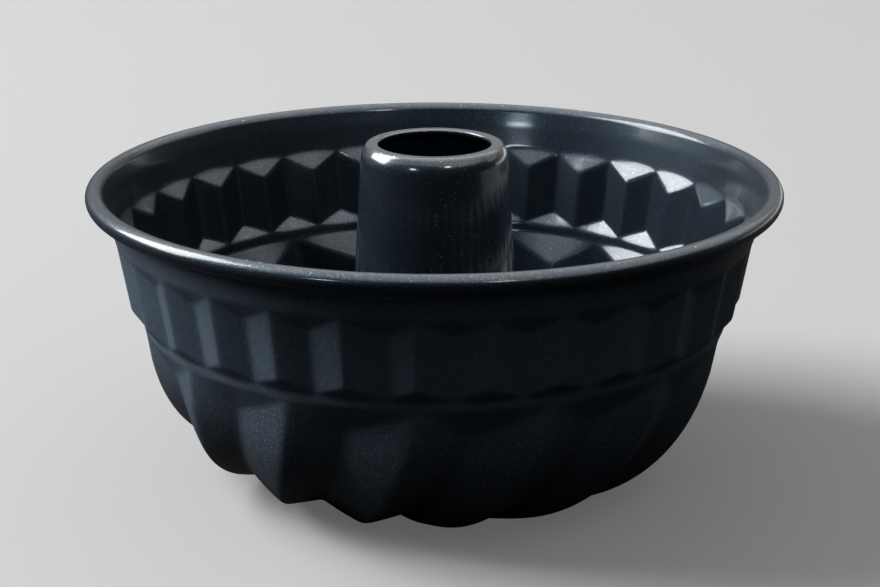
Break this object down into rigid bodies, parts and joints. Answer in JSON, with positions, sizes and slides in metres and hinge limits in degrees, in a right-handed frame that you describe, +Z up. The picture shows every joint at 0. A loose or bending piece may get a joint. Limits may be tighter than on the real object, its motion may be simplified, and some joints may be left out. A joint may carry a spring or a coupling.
{
  "type": "fluted tube pan",
  "caption": "Round fluted cake pan with an open centre tube, a wired rim and two tiers of flutes, the lower ones swirled, in dark non-stick coated steel.",
  "frame": {"origin": "on the pan's axis, at the table it stands on", "axes": "+Z up along the centre tube; +X lies 3.1 degrees clockwise from the nearest ridge of the flutes, seen from above"},
  "size_m": [0.2218, 0.2218, 0.1072],
  "materials": {
    "body_coating": "satin dark blue-black non-stick coating on sheet steel, with fine bright flecks",
    "tube_coating": "the same coating, with coarser bright flecks under the lip",
    "wire_steel": "plain drawn steel wire"
  },
  "bodies": {
    "root": {"pan_body": "body_coating", "centre_tube": "tube_coating", "rim_wire": "wire_steel"}
  },
  "joints": []
}
